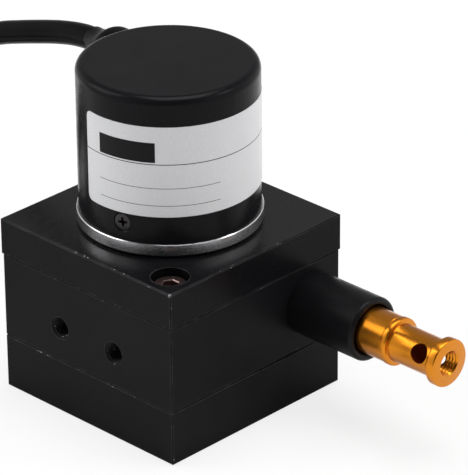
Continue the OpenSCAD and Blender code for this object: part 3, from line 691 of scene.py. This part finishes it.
def make_gland(finish):
    """The moulded gland, and the sleeve that eases the cable out of it, both rounded."""
    out = Vector((*polar(1, GLAND_DIRECTION), 0))
    across = Vector((-out.y, out.x, 0))

    def place(length, radius, angle):
        rise = Vector((0, 0, GLAND_HEIGHT * MM + radius * math.sin(angle)))
        return out * length + across * radius * math.cos(angle) + rise

    for name, node, shape in (
        ("gland_nut", "cable_gland", GLAND_PROFILE),
        ("relief_sleeve", "strain_relief", RELIEF_PROFILE),
    ):
        mesh = revolve(name, [(length * MM, radius * MM) for length, radius in shape], place, 64)
        outward(mesh)
        piece = add_object(name, mesh)
        smooth(piece, 50)
        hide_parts(node)
        paint(piece, SLOT_OF[node], finish)


# ---- Label -------------------------------------------------------------------

LABEL_R = 19.15 * MM
LABEL_LOW, LABEL_HIGH = 49.1 * MM, 69.3 * MM
LABEL_LEFT, LABEL_SWEEP = math.radians(-104.5), math.radians(175.5)
LABEL_CORNER = 1.4 * MM
LABEL_THICK = 0.1 * MM
LABEL_COLUMNS, LABEL_ROWS, CORNER_STEPS = 150, 10, 6
LABEL_UV = "label"
UV_SCALE = 10


def label_u(degrees):
    """How far round the label a direction lies, on its UVs."""
    return (math.radians(degrees) - LABEL_LEFT) * LABEL_R * UV_SCALE


def label_v(height):
    """How far up the label a height in millimetres lies, on its UVs."""
    return (height * MM - LABEL_LOW) * UV_SCALE


RULE_V, RULE_HALF = label_v(60.95), 0.0009
PRINT_LEFT, FIELD_RIGHT, LINE_RIGHT = label_u(-91.8), label_u(-53.2), label_u(-12)
LABEL_FIELDS = [  # left, right, bottom, top
    (PRINT_LEFT, FIELD_RIGHT, label_v(61.35), label_v(65.8)),
    (PRINT_LEFT, LINE_RIGHT, label_v(55.5), label_v(55.62)),
    (PRINT_LEFT, LINE_RIGHT, label_v(51.6), label_v(51.72)),
]


def make_label():
    """A foil band with rounded corners: columns, shorter at its ends, and a rim down to the cap.

    Each point is kept as how far round the foil it lies and its height, which also give its UVs.
    """
    length = LABEL_SWEEP * LABEL_R
    straight = length - 2 * LABEL_CORNER
    turns = [math.radians(90 * k / CORNER_STEPS) for k in range(CORNER_STEPS)]
    corner = [LABEL_CORNER * (1 - math.cos(turn)) for turn in turns]
    inner = [LABEL_CORNER + straight * k / LABEL_COLUMNS for k in range(LABEL_COLUMNS + 1)]
    stations = corner + inner + [length - s for s in reversed(corner)]

    def edge_gap(s):
        """How much the rounded corner takes off the foil's height at a station."""
        reach = min(s, length - s)
        if reach >= LABEL_CORNER:
            return 0
        return LABEL_CORNER - math.sqrt(max(0, LABEL_CORNER ** 2 - (LABEL_CORNER - reach) ** 2))

    places, columns = [], []
    for s in stations:
        low, high = LABEL_LOW + edge_gap(s), LABEL_HIGH - edge_gap(s)
        first = len(places)
        places += [(s, low + (high - low) * k / LABEL_ROWS) for k in range(LABEL_ROWS + 1)]
        columns.append(range(first, len(places)))
    faces = []
    for left, right in zip(columns, columns[1:]):
        for row in range(LABEL_ROWS):
            faces.append((left[row], right[row], right[row + 1], left[row + 1]))
    border = [c[0] for c in columns] + [*columns[-1][1:]]
    border += [c[-1] for c in columns[-2::-1]] + [*columns[0][-2:0:-1]]
    skin, count = len(places), len(border)
    for i in range(count):
        k = (i + 1) % count
        faces.append((border[k], border[i], skin + i, skin + k))
    places += [places[i] for i in border]
    points = []
    for i, (s, z) in enumerate(places):
        radius = LABEL_R + LABEL_THICK if i < skin else LABEL_R
        points.append((*polar(radius, LABEL_LEFT + s / LABEL_R), z))
    mesh = mesh_from(points, faces, "label_foil")
    for loop, spot in zip(mesh.loops, mesh.uv_layers.new(name=LABEL_UV).data):
        s, z = places[loop.vertex_index]
        spot.uv = (s * UV_SCALE, (z - LABEL_LOW) * UV_SCALE)
    piece = add_object("label_foil", mesh)
    smooth(piece, 40)
    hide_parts("label")
    paint(piece, "label_foil", label_foil("label_foil"))


# ---- End fitting -------------------------------------------------------------

FITTING_PROFILE = [
    (13.2, 2.8), (4.2, 2.8), (4.2, 3.3), (0, 3.3), (0, 4.8), (0.3, 5.1),
    (19.86, 5.1), (19.93, 5.03), (20, 5.03), (20.06, 5.16), (20.2, 5.25),
    (21.1, 5.25), (21.24, 5.2), (21.36, 5.08), (21.4, 4.95), (21.4, 4.32),
    (21.45, 4.2), (21.6, 4.15), (26, 4.15),
    *arc((31.75, 5.2), 1.05, -90, -3, 10),
    (32.8, 5.2), (34.3, 5.2), (34.46, 5.15), (34.56, 5.05), (34.6, 4.9),
]
MOUTH_PROFILE = [(-0.75, 0), (-0.6, 0.1), (0.2, 0.85)]  # from the end face and the thread's core
CROSS_AT = 29.5 * MM
CROSS_R = 2.1 * MM
CROSS_TILT = math.radians(27.4)
CROSS_REACH = 6 * MM
CROSS_SLACK = 0.02 * MM
CROSS_MOUTH = 4.1 * MM  # how far from the wire's axis the hole's wall is still inside the neck


def make_fitting(gold, painted_shade_gold):
    """The gold wire end: a barrel with a collar, a neck with a cross hole, and an M5 end thread.

    The wall of the cross hole gets a dark red-brown colour, which is painted shade for the hole's
    dark inside.
    """
    start, end = (corner.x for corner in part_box("end_fitting"))
    profile = [(start + x * MM, r * MM) for x, r in FITTING_PROFILE]
    mesh = revolve("end_fitting_turned", profile, along_x, 128)
    outward(mesh)
    piece = add_object("end_fitting_turned", mesh, "fitting")

    cross_axis = Vector((0, math.cos(CROSS_TILT), -math.sin(CROSS_TILT)))
    side = Vector((0, math.sin(CROSS_TILT), math.cos(CROSS_TILT)))
    middle = Vector((start + CROSS_AT, WIRE_Y, WIRE_Z))

    def across(length, radius, angle):
        along = Vector((radius * math.cos(angle), 0, 0))
        return middle + cross_axis * length + along + side * radius * math.sin(angle)

    mouth = [(end + x * MM, M5_CORE + r * MM) for x, r in MOUTH_PROFILE]
    cut(
        piece,
        thread_cutter(along_x, start + CROSS_AT, end + 2 * CUTTER_PROUD, M5_CORE),
        revolve("mouth_cutter", mouth, along_x, 96),
        revolve("drill_cutter", [(-CROSS_REACH, CROSS_R), (CROSS_REACH, CROSS_R)], across, 64),
    )
    smooth(piece, 32)
    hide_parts("end_fitting")
    paint(piece, "gold_anodised", gold, painted_shade_gold)
    # faces on the cross hole's wall take the second finish: painted shade, dark red-brown
    for face in piece.data.polygons:
        offset = face.center - middle
        off_axis = offset - cross_axis * offset.dot(cross_axis)
        at_radius = abs(off_axis.length - CROSS_R) < CROSS_SLACK
        faces_axis = abs(face.normal.dot(cross_axis)) < 0.1
        inside = math.hypot(offset.y, offset.z) < CROSS_MOUTH
        face.material_index = int(at_radius and faces_axis and inside)


# ---- Block with threaded side holes ------------------------------------------

SIDE_HOLES_X = (-8 * MM, 8 * MM)
SIDE_HOLE_Z = 20 * MM
SIDE_HOLE_DEPTH = 6.6 * MM
SIDE_HOLE_CORE = M5_CORE - 0.02 * MM


def make_middle_body(finish):
    """The middle body with real M5 threads in its two side holes."""
    piece = add_copy("middle_body", "middle_body_threaded")
    face_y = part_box("middle_body")[0].y
    cutters = []
    for x in SIDE_HOLES_X:
        def inwards(length, radius, angle, x=x):
            aside, rise = polar(radius, angle)
            return Vector((x + aside, face_y + length, SIDE_HOLE_Z + rise))
        cutters.append(thread_cutter(inwards, -CUTTER_PROUD, SIDE_HOLE_DEPTH, SIDE_HOLE_CORE))
    cut(piece, *cutters)
    smooth(piece, 8)
    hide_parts("middle_body")
    paint(piece, "anodised_black", finish)


# ---- Top plate ---------------------------------------------------------------

PLATE_SCREW_PLACES = ((19.4, -19.4), (-19.4, 19.4))
COUNTERBORE_R = 4.5 * MM
COUNTERBORE_SEEN = 4.05 * MM
COUNTERBORE_WALL = (COUNTERBORE_R - 0.1 * MM, COUNTERBORE_R + 0.5 * MM)  # with its broken edge
LOOKS_UP = 0.95  # the least that a normal points up for its face to count as the plate's top


def make_top_plate(finish, top_finish):
    """The top plate, its counterbores as narrow as the photograph's and its top milled finer."""
    piece = add_copy("top_plate", "top_plate_bored")
    middles = [Vector(place) * MM for place in PLATE_SCREW_PLACES]
    for vertex in piece.data.vertices:
        for middle in middles:
            offset = vertex.co.xy - middle
            if COUNTERBORE_WALL[0] < offset.length < COUNTERBORE_WALL[1]:
                narrowed = (offset.length - COUNTERBORE_R + COUNTERBORE_SEEN) / offset.length
                vertex.co.x, vertex.co.y = middle + offset * narrowed
    smooth(piece, 30)
    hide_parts("top_plate")
    paint(piece, SLOT_OF["top_plate"], finish, top_finish)
    for face in piece.data.polygons:
        face.material_index = int(face.normal.z > LOOKS_UP)


# ---- Bright ring -------------------------------------------------------------

RING_R = 19.6 * MM
RING_GAP = 0.04 * MM
RING_EDGE = 0.14 * MM
RING_FOOT = 0.65 * MM
RIM_DEPTH = 0.5 * MM  # what lies deeper than this inside the ring stays as it is
WALL_SLACK = 0.1 * MM


def make_ring(finish):
    """The encoder's flange, whose rim is drawn down over the gasket's edge to just above the plate.

    The rim's top edge is broken finely, and its foot is undercut.
    """
    piece = add_copy("encoder_flange", "encoder_flange_turned")
    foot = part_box("top_plate")[1].z + RING_GAP
    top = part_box("encoder_cap")[0].z
    middle = (foot + top) / 2
    for vertex in piece.data.vertices:
        point = vertex.co
        radius = math.hypot(point.x, point.y)
        if radius < RING_R - RIM_DEPTH:
            continue
        on_wall = radius > RING_R - WALL_SLACK
        chamfer = RING_EDGE if point.z > middle else RING_FOOT
        level = chamfer if on_wall else 0
        point.z = top - level if point.z > middle else foot + level
        if not on_wall:
            point.x, point.y = (c * (RING_R - chamfer) / radius for c in (point.x, point.y))
    smooth(piece, 30)
    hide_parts("encoder_flange")
    paint(piece, SLOT_OF["encoder_flange"], finish)


# ---- Screws ------------------------------------------------------------------

HEAD_R, HEAD_HEIGHT, HEAD_SIDES = 3.5, 4, 96
HEAD_SUNK = 5.5
HEAD_RIM = ((0.35, 0), (0.15, 0.1), (0, 0.4))  # below the top, and inside the side
KNURL_LEVELS, KNURL_DEPTH = (0.5, 1, 2, 3, 4, 4.6), 0.09  # sixths of the head's height
SOCKET_HALF = 1.5
SHANK_PROFILE = [(-12, 1.7), (-11.7, 2), (0.2, 2)]


def socket_head(name, place, finish):
    """A socket head: knurled side, rounded rim, and a hexagon socket with a chamfered mouth."""
    profile = [(0, HEAD_R - 0.15)] + [(HEAD_HEIGHT * k / 6, HEAD_R) for k in KNURL_LEVELS]
    profile += [(HEAD_HEIGHT - drop, HEAD_R - inset) for drop, inset in HEAD_RIM]
    points = []
    for level, (z, r) in enumerate(profile):
        for i in range(HEAD_SIDES):
            knurl = KNURL_DEPTH if 1 <= level <= len(KNURL_LEVELS) and i % 2 else 0
            points.append(place(z, r - knurl, 2 * math.pi * i / HEAD_SIDES))
    piece = add_object(name, mesh_from(points, tube_faces(len(profile) - 1, HEAD_SIDES), name))
    corner = SOCKET_HALF / math.cos(math.pi / 6)
    socket = [(HEAD_HEIGHT * 0.45, corner), (HEAD_HEIGHT + 1, corner)]
    mouth = [(HEAD_HEIGHT - 0.22, corner - 0.02), (HEAD_HEIGHT + 0.3, corner + 0.5)]
    cut(piece, *(revolve("hex_cutter", shape, place, 6) for shape in (socket, mouth)))
    smooth(piece, 25)
    paint(piece, "zinc_screw", finish)
    return piece


def make_plate_screws(finish):
    """The socket head screws in the plate's counterbores, each with its shank."""
    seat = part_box("top_plate")[1].z / MM - HEAD_SUNK
    for x, y in PLATE_SCREW_PLACES:
        place = round_upright(Vector((x, y, seat)))
        name = "plate_screw_front" if x > 0 else "plate_screw_back"
        socket_head(name, place, finish)
        bar = add_object(name + "_shank", revolve(name + "_shank", SHANK_PROFILE, place, 48))
        smooth(bar, 30)
        paint(bar, "zinc_screw", finish)
    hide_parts("plate_screws")


CAP_SCREW_R = 19.0
CAP_SCREW_Z = 46.8
CAP_SCREWS = 3
CAP_SCREW_FIRST, CAP_SCREW_STEP = -75.5, 120
CAP_SCREW_PROFILE = [
    (-4.5, 0.8), (-4.3, 1.02), (-1.0, 1.05), (-0.22, 1.83),
    (-0.12, 1.87), (-0.03, 1.84), (0.0, 1.76),
]
RECESS_ARM = ((1.2, -0.3), (1.2, 0.3), (0.34, 0.34))  # corners of one arm: reach, half width
RECESS_TURN = math.radians(6)
RECESS_TOP, RECESS_BOTTOM, RECESS_TAPER = 0.3, -0.9, 0.55


def cross_cutter(place):
    """A tapered cross, which cuts a screw's recess."""
    outline = []
    for quarter in range(4):
        for reach, half in RECESS_ARM:
            a = quarter * math.pi / 2 + math.atan2(half, reach) + RECESS_TURN
            outline.append((math.hypot(reach, half), a))
    wide = [place(RECESS_TOP, r, a) for r, a in outline]
    deep = [place(RECESS_BOTTOM, r * RECESS_TAPER, a) for r, a in outline]
    count = len(outline)
    faces = [tuple(range(count)), tuple(range(2 * count - 1, count - 1, -1))]
    faces += [(i, (i + 1) % count, count + (i + 1) % count, count + i) for i in range(count)]
    return mesh_from(wide + deep, faces, "cross_cutter")


def make_cap_screws(finish):
    """Countersunk heads with a tapered cross recess, flush in the cap's foot."""
    rise = Vector((0, 0, 1))
    for number in range(CAP_SCREWS):
        out = Vector((*polar(1, math.radians(CAP_SCREW_FIRST + CAP_SCREW_STEP * number)), 0))
        across = Vector((-out.y, out.x, 0))
        seat = out * CAP_SCREW_R + rise * CAP_SCREW_Z

        def place(depth, r, a, seat=seat, out=out, across=across):
            return (seat + out * depth + across * r * math.cos(a) + rise * r * math.sin(a)) * MM

        name = f"cap_screw_{number}"
        piece = add_object(name, revolve(name, CAP_SCREW_PROFILE, place, 64))
        cut(piece, cross_cutter(place))
        smooth(piece, 25)
        paint(piece, "zinc_screw", finish)
    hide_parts("cap_screws")


# ---- Draw wire ---------------------------------------------------------------

WIRE_R = 0.225 * MM
STRANDS = 7  # six round one
STRAND_ROWS, STRAND_SIDES = 160, 8
WIRE_LAY = 9 * MM


def make_wire(finish):
    """Seven twisted strands from the drum to the ferrule."""
    end_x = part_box("ferrule")[1].x - 0.3 * MM
    strand_r = WIRE_R / 3
    points, faces = [], []
    for strand in range(STRANDS):
        faces += tube_faces(STRAND_ROWS, STRAND_SIDES, len(points))
        for row in range(STRAND_ROWS + 1):
            x = end_x * row / STRAND_ROWS
            turn = 2 * math.pi * (x / WIRE_LAY + strand / (STRANDS - 1))
            centre = along_x(x, 0 if strand == STRANDS - 1 else 2 * strand_r, turn)
            for i in range(STRAND_SIDES):
                spoke = Vector((0, *polar(1, 2 * math.pi * i / STRAND_SIDES)))
                points.append(centre + spoke * strand_r)
    wire = place_in_scene("draw_wire_strands", mesh_from(points, faces, "draw_wire_strands"))
    smooth(wire, 60)
    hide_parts("draw_wire")
    paint(wire, "stainless_wire", finish)
    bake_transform(wire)


# ---- Stage and lights --------------------------------------------------------

FLOOR_HALF = 4.0
FLOOR_DROP = 0.03 * MM
FLOOR_PLAIN = 0.8  # the share of plain white paper in what the camera sees of the floor
WORLD_DARK, WORLD_BACK, WORLD_RIGHT, WORLD_LEFT = 0.05, 0.38, 1.15, 1.0
LAMP_TARGET = Vector((0, 0, 0.04))
LAMPS = [  # name, azimuth and elevation in degrees, distance, size, power
    ("overhead", (150, 84), 2.2, 1.6, 47),
    ("left", (-54, 36), 1.2, 0.6, 3.8),
    ("left_rim", (-42, 52), 1.5, 0.2, 1.3),
    ("right", (131, 42), 1.6, 0.28, 2.6),
]


def make_floor():
    """A pale paper floor, nearly white to the camera, which keeps the object's shadow."""
    corners = [(x * FLOOR_HALF, y * FLOOR_HALF, 0) for x, y in ((-1, -1), (1, -1), (1, 1), (-1, 1))]
    floor = place_in_scene("floor", mesh_from(corners, [(0, 1, 2, 3)], "floor"))
    floor.location.z = -FLOOR_DROP
    f = Finish("studio_floor", linear(247, 247, 247), 0.9, specular=0.0)
    cloud = f.spread(f.noise(3), *NOISE_MIDDLE)
    f.set(base=f.mix(cloud, linear(246, 246, 246), linear(248, 248, 248)))
    paper = f.add("ShaderNodeEmission", Color=linear(250, 250, 250) + (1,), Strength=1.0)
    ray = f.add("ShaderNodeLightPath")
    both = f.add("ShaderNodeMixShader")
    feed(f.tree, both.inputs[0], f.math("MULTIPLY", ray.outputs["Is Camera Ray"], FLOOR_PLAIN))
    feed(f.tree, both.inputs[1], f.shader.outputs[0])
    feed(f.tree, both.inputs[2], paper.outputs[0])
    feed(f.tree, f.tree.nodes["Material Output"].inputs["Surface"], both.outputs[0])
    floor.data.materials.append(f.material)


def softbox(name, direction, distance, size, power):
    """A soft square lamp that faces the object."""
    back = direction_of(*(math.radians(a) for a in direction))
    data = bpy.data.lights.new(name, "AREA")
    data.shape = "RECTANGLE"
    data.size = data.size_y = size
    data.energy = power
    lamp = place_in_scene(name, data)
    lamp.location = LAMP_TARGET + back * distance
    lamp.rotation_euler = (-back).to_track_quat("-Z", "Y").to_euler()


def world_along(tree, direction, low, high):
    """How far the world's direction points along a vector, mapped from low..high to 0..1."""
    where = add_node(tree, "ShaderNodeTexCoord").outputs["Generated"]
    towards = calculate(tree, "ShaderNodeVectorMath", "DOT_PRODUCT", where, direction)["Value"]
    share = map_range(tree, towards, low, high)
    share.interpolation_type = "SMOOTHSTEP"
    return share.outputs["Result"]


def make_world():
    """A dark room with a pale wall behind the object and a broad white screen on each side."""
    world = bpy.data.worlds.new("studio")
    world.use_nodes = True
    tree = world.node_tree
    front = direction_of(CAMERA_AZIMUTH, 0)
    side = Vector((*polar(1, CAMERA_AZIMUTH), 0))
    total = WORLD_DARK
    for direction, low, high, strength in (
        (-front, 0.2, 0.9, WORLD_BACK),
        (side, 0.4, 0.9, WORLD_RIGHT),
        (-side, 0.4, 0.9, WORLD_LEFT),
    ):
        share = world_along(tree, direction, low, high)
        total = calculate(tree, "ShaderNodeMath", "MULTIPLY_ADD", share, strength, total)[0]
    background = tree.nodes["Background"]
    background.inputs["Color"].default_value = (1, 1, 1, 1)
    feed(tree, background.inputs["Strength"], total)
    bpy.context.scene.world = world


# ---- Building the scene ------------------------------------------------------

FITTING_AXIS = (0, WIRE_Y, WIRE_Z)
PLATE_COLOUR = linear(15, 15, 17)
PLATE_KNOCK = (24.8 * MM, -24.8 * MM, 39.35 * MM)

make_camera()
leads = make_leads(tinned_copper("tinned_copper"))
make_cable(moulded("cable_skin", linear(5, 5, 7), 0.33, 0.025, grain=900, depth=0.01))

block_black = anodised_black("block_black", linear(18, 18, 20), 0.4, 0.045)
steel = ground_metal("bearing_steel", linear(206, 207, 210), 0.18)
shaft_steel = turned_metal("shaft_steel", linear(196, 197, 200), 0.25, "Z")
zinc = ground_metal("zinc_plate", linear(124, 104, 101), 0.34)
black_oxide = ground_metal("black_oxide", linear(52, 52, 55), 0.45, metallic=0.6)
brass_z = turned_metal("turned_brass", linear(206, 170, 96), 0.24, "Z")
gold = turned_metal("gold_anodised", linear(198, 121, 14), 0.27, "X", FITTING_AXIS,
                    depth=0.00002, fine=9000, streak=0.3, coat=0.25, vary=0.004)
# painted shade: the dark red-brown colour of the inside of the cross hole
painted_shade_gold = moulded("painted_hole_shade", linear(72, 22, 5), 0.7, 0.0)
chip = moulded("chip_black", linear(44, 44, 46), 0.5)
black_rubber = moulded("black_rubber", linear(16, 16, 17), 0.6, 0.08, grain=1800)

make_middle_body(block_black)
make_fitting(gold, painted_shade_gold)
make_label()
make_ring(turned_metal("turned_aluminium", linear(206, 206, 208), 0.23, "Z",
                       depth=0.0005, streak=0.45, vary=0.012))
make_plate_screws(zinc)
make_cap_screws(ground_metal("cap_screw_steel", linear(58, 56, 57), 0.42))
make_wire(stranded("stainless_strands", linear(190, 192, 196)))

dress(block_black, "bottom_cover")
make_top_plate(anodised_black("plate_black", PLATE_COLOUR, 0.24, 0.045, knocked=PLATE_KNOCK),
               anodised_black("plate_top_black", PLATE_COLOUR, 0.24, 0.16, knocked=PLATE_KNOCK))
dress(anodised_black("cap_black", linear(17, 17, 19), 0.24, 0.06, wear=False), "encoder_cap")
dress(anodised_black("tube_black", linear(16, 16, 18), 0.36, 0.1, wear=False), "outlet_tube")
dress(turned_metal("drum_aluminium", linear(196, 198, 202), 0.3, "Z"), "drum")
dress(steel, "lower_bearing_outer_ring", "upper_bearing_outer_ring", "encoder_bearing_outer_rings",
      "lower_bearing_inner_ring", "upper_bearing_inner_ring", "encoder_bearing_inner_rings",
      "lower_bearing_balls", "upper_bearing_balls", "encoder_bearing_balls")
dress(shaft_steel, "drum_shaft", "encoder_shaft", "spring_plate")
dress(zinc, "board_screws")
dress(black_oxide, "cover_screws", "flange_screws", "wire_clamp_screw")
dress(blued_strip("blued_strip"), "power_spring")
dress(stranded("wound_strands", linear(182, 184, 188)), "wound_wire")
dress(white_ceramic("white_ceramic"), "guide_eyelet")
dress(felt("grey_felt", linear(176, 166, 142)), "wire_wiper")
dress(black_rubber, "bumper_ring", "flange_gasket")
dress(brass_z, "spring_arbor", "disc_hub", "disc_clamp_ring", "lower_bearing_cage",
      "upper_bearing_cage", "encoder_bearing_cages", "board_pillars")
dress(turned_metal("ferrule_brass", linear(190, 140, 90), 0.3, "X", FITTING_AXIS), "ferrule")
dress(gold, "retaining_plug")
dress(solder_mask("solder_mask"), "circuit_board")
dress(chip, "led_block", "light_sensor", "board_components")
dress(moulded("socket_nylon", linear(232, 228, 214), 0.42), "cable_socket")
dress(code_film("code_film"), "code_disc")
dress(ground_metal("mask_chrome", linear(150, 156, 164), 0.15, metallic=0.8), "sensor_mask")
make_gland(moulded("gland_black", linear(9, 9, 11), 0.36, 0.05))
dress(moulded("lead_skin", linear(130, 40, 32), 0.4), "inner_leads")

make_floor()
make_world()
for lamp in LAMPS:
    softbox(*lamp)
bpy.context.scene.view_settings.view_transform = "Standard"
